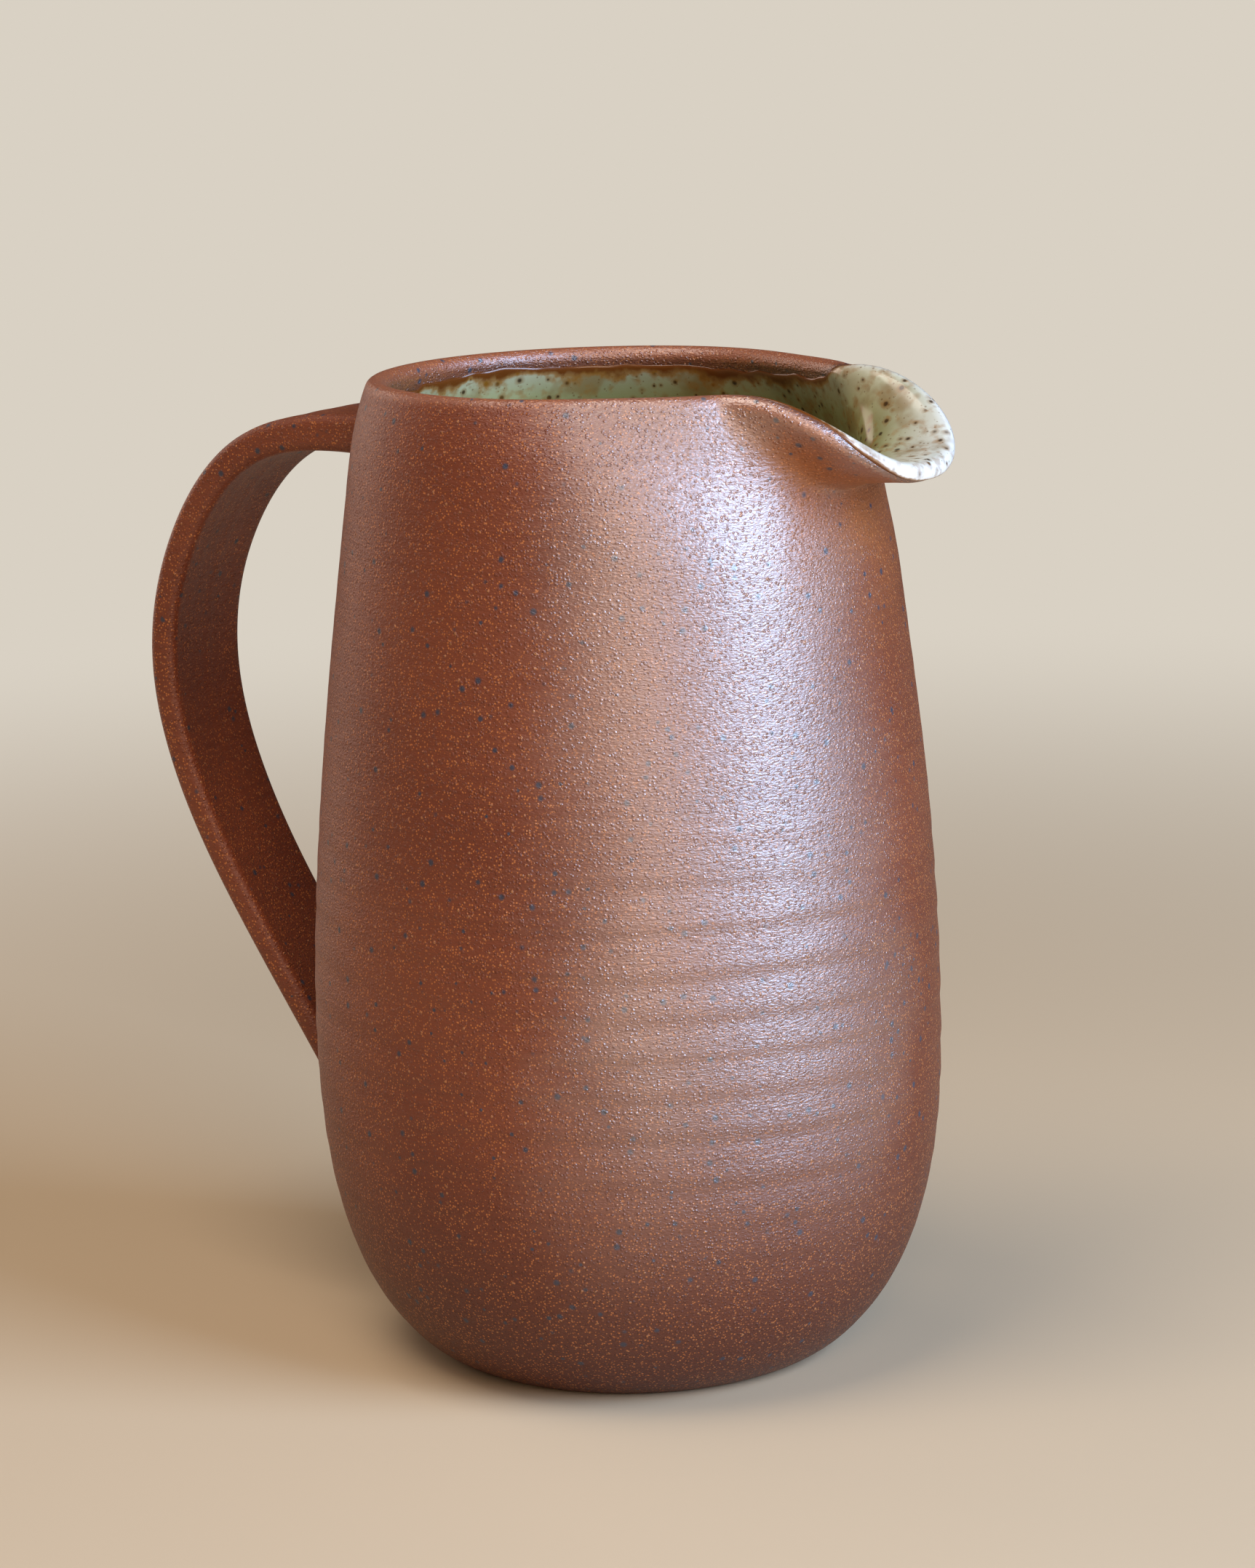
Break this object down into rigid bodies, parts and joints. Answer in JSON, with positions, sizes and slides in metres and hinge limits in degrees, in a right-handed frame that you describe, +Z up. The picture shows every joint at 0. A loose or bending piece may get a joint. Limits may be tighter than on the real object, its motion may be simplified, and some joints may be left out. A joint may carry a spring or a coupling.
{
  "type": "ceramic pitcher",
  "caption": "Wheel-thrown stoneware pitcher with a rounded belly, pulled pouring spout, strap handle and a glazed inside.",
  "frame": {"origin": "centre of the flat foot, on the surface the pitcher stands on", "axes": "+Z up along the pot's axis, +X towards the pouring spout, -X towards the handle"},
  "size_m": [0.1918, 0.138, 0.2155],
  "materials": {
    "bare_stoneware": "unglazed iron-red stoneware, satin with fine grit",
    "liner_glaze": "glossy pale celadon liner glaze with iron specks"
  },
  "bodies": {
    "root": {"body": "bare_stoneware", "handle": "bare_stoneware", "upper_handle_joint": "bare_stoneware", "lower_handle_joint": "bare_stoneware", "liner_glaze": "liner_glaze"}
  },
  "joints": []
}
